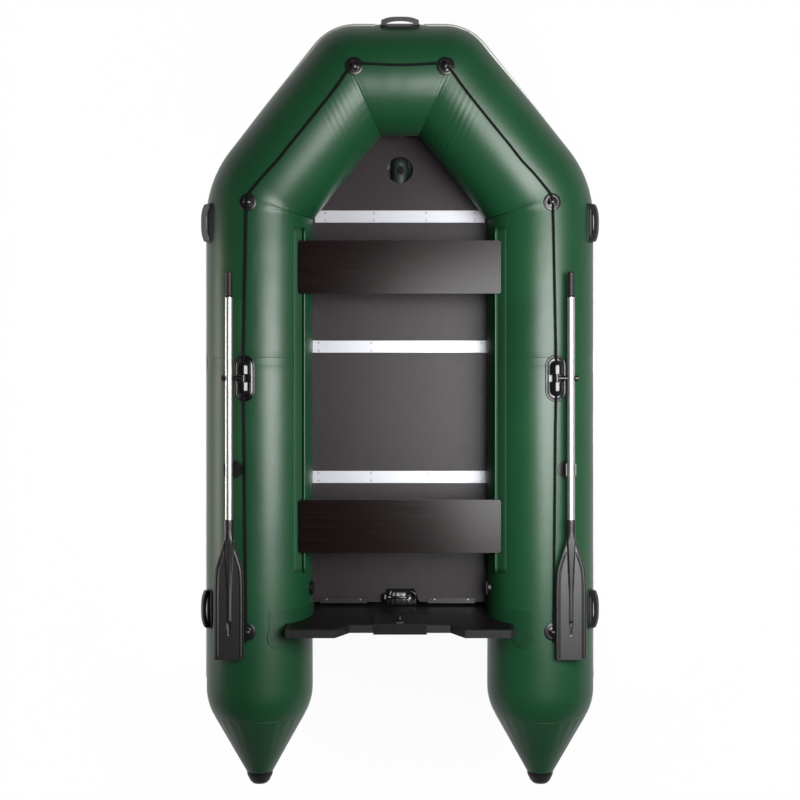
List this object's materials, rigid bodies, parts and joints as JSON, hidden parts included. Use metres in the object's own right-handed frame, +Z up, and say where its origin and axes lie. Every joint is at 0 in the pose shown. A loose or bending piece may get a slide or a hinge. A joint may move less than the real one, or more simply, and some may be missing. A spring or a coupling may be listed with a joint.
{
  "type": "inflatable dinghy",
  "caption": "Inflatable boat with a sectional plywood floor, sliding benches, a motor transom, stowed oars and a lifeline.",
  "frame": {"origin": "middle of the boat's length and beam, on the ground under the tubes", "axes": "+Y towards the bow, +X to starboard, +Z up"},
  "size_m": [1.5914, 3.0641, 0.55],
  "materials": {
    "tube_fabric": "satin",
    "bottom_fabric": "satin",
    "black_plastic": "satin",
    "gloss_plastic": "gloss",
    "grey_plastic": "satin",
    "rubber": "matte",
    "floor_plywood": "satin",
    "bench_plywood": "satin",
    "transom_plywood": "satin",
    "aluminium": "satin",
    "steel": "satin",
    "rope": "matte"
  },
  "bodies": {
    "hull": {"bow_tube_panel": "tube_fabric", "port_bow_side_panel": "tube_fabric", "starboard_bow_side_panel": "tube_fabric", "port_side_panel": "tube_fabric", "starboard_side_panel": "tube_fabric", "port_stern_panel": "tube_fabric", "starboard_stern_panel": "tube_fabric", "port_stern_cone": "tube_fabric", "starboard_stern_cone": "tube_fabric", "cone_end_caps": "black_plastic", "chamber_baffles": "tube_fabric", "bottom_skin": "bottom_fabric", "keel_tube": "bottom_fabric", "bow_floor_board": "floor_plywood", "front_floor_board": "floor_plywood", "middle_floor_board": "floor_plywood", "stern_floor_board": "floor_plywood", "floor_joint_profiles": "aluminium", "floor_rivets": "aluminium", "floor_cleats": "black_plastic", "cleat_screws": "steel", "transom_board": "transom_plywood", "transom_edging": "black_plastic", "transom_holders": "tube_fabric", "outer_motor_plate": "black_plastic", "inner_motor_plate": "black_plastic", "motor_plate_bolts": "steel", "safety_eye": "steel", "drain_body": "gloss_plastic", "seat_rails": "tube_fabric", "oarlock_bases": "gloss_plastic", "oarlock_axles": "steel", "oar_clips": "black_plastic", "rope_eyes": "black_plastic", "lifeline": "rope", "handle_bases": "black_plastic", "handle_grips": "rubber", "valve_bodies": "black_plastic"},
    "drain_plug": {"drain_plug": "gloss_plastic"},
    "front_bench": {"front_bench": "bench_plywood", "front_bench_grips": "black_plastic"},
    "rear_bench": {"rear_bench": "bench_plywood", "rear_bench_grips": "black_plastic"},
    "port_stud": {"port_oarlock_stud": "steel"},
    "starboard_stud": {"starboard_oarlock_stud": "steel"},
    "port_oar": {"port_oar_blade": "black_plastic", "port_oar_shaft": "aluminium", "port_oar_grip": "rubber"},
    "starboard_oar": {"starboard_oar_blade": "black_plastic", "starboard_oar_shaft": "aluminium", "starboard_oar_grip": "rubber"},
    "port_valve_poppet": {"port_valve_poppet": "grey_plastic"},
    "port_valve_cap": {"port_valve_cap": "black_plastic"},
    "starboard_valve_poppet": {"starboard_valve_poppet": "grey_plastic"},
    "starboard_valve_cap": {"starboard_valve_cap": "black_plastic"},
    "bow_valve_poppet": {"bow_valve_poppet": "grey_plastic"},
    "bow_valve_cap": {"bow_valve_cap": "black_plastic"},
    "keel_valve_poppet": {"keel_valve_poppet": "grey_plastic"},
    "keel_valve_cap": {"keel_valve_cap": "black_plastic"}
  },
  "joints": [
    {"name": "drain_plug_pull", "type": "slide", "parent": "hull", "child": "drain_plug", "axis": [0, 0.9966, 0.0819], "range_m": [0, 0.03]},
    {"name": "front_bench_slide", "type": "slide", "parent": "hull", "child": "front_bench", "axis": [0, 1, 0], "range_m": [-0.44, 0.05]},
    {"name": "rear_bench_slide", "type": "slide", "parent": "hull", "child": "rear_bench", "axis": [0, 1, 0], "range_m": [-0.07, 0.33]},
    {"name": "port_oar_raise", "type": "hinge", "parent": "hull", "child": "port_stud", "pos_m": [-0.61, 0.1, 0.456], "axis": [0, 1, 0], "range_deg": [0, 90]},
    {"name": "port_oar_turn", "type": "hinge", "parent": "port_stud", "child": "port_oar", "pos_m": [-0.665, 0.1, 0.456], "axis": [-1, 0, 0], "range_deg": [0, 3.5]},
    {"name": "starboard_oar_raise", "type": "hinge", "parent": "hull", "child": "starboard_stud", "pos_m": [0.61, 0.1, 0.456], "axis": [0, -1, 0], "range_deg": [0, 90]},
    {"name": "starboard_oar_turn", "type": "hinge", "parent": "starboard_stud", "child": "starboard_oar", "pos_m": [0.665, 0.1, 0.456], "axis": [-1, 0, 0], "range_deg": [0, 3.5]},
    {"name": "port_valve_cap_turn", "type": "hinge", "parent": "hull", "child": "port_valve_cap", "pos_m": [-0.36027, -0.745, 0.25233], "axis": [0.9848, 0, 0.1736], "range_deg": [0, 90]},
    {"name": "port_valve_press", "type": "slide", "parent": "hull", "child": "port_valve_poppet", "axis": [-0.9848, 0, -0.1736], "range_m": [0, 0.006], "stiffness_N_per_m": 800},
    {"name": "starboard_valve_cap_turn", "type": "hinge", "parent": "hull", "child": "starboard_valve_cap", "pos_m": [0.36027, -0.745, 0.25233], "axis": [-0.9848, 0, 0.1736], "range_deg": [0, 90]},
    {"name": "starboard_valve_press", "type": "slide", "parent": "hull", "child": "starboard_valve_poppet", "axis": [0.9848, 0, -0.1736], "range_m": [0, 0.006], "stiffness_N_per_m": 800},
    {"name": "bow_valve_cap_turn", "type": "hinge", "parent": "hull", "child": "bow_valve_cap", "pos_m": [0, 1.1078, 0.2075], "axis": [0, -0.866, -0.5], "range_deg": [0, 90]},
    {"name": "bow_valve_press", "type": "slide", "parent": "hull", "child": "bow_valve_poppet", "axis": [0, 0.866, 0.5], "range_m": [0, 0.006], "stiffness_N_per_m": 800},
    {"name": "keel_valve_cap_turn", "type": "hinge", "parent": "hull", "child": "keel_valve_cap", "pos_m": [0, 0.979, 0.077], "axis": [0, 0, 1], "range_deg": [0, 90]},
    {"name": "keel_valve_press", "type": "slide", "parent": "hull", "child": "keel_valve_poppet", "axis": [0, 0, -1], "range_m": [0, 0.0042], "stiffness_N_per_m": 800}
  ]
}
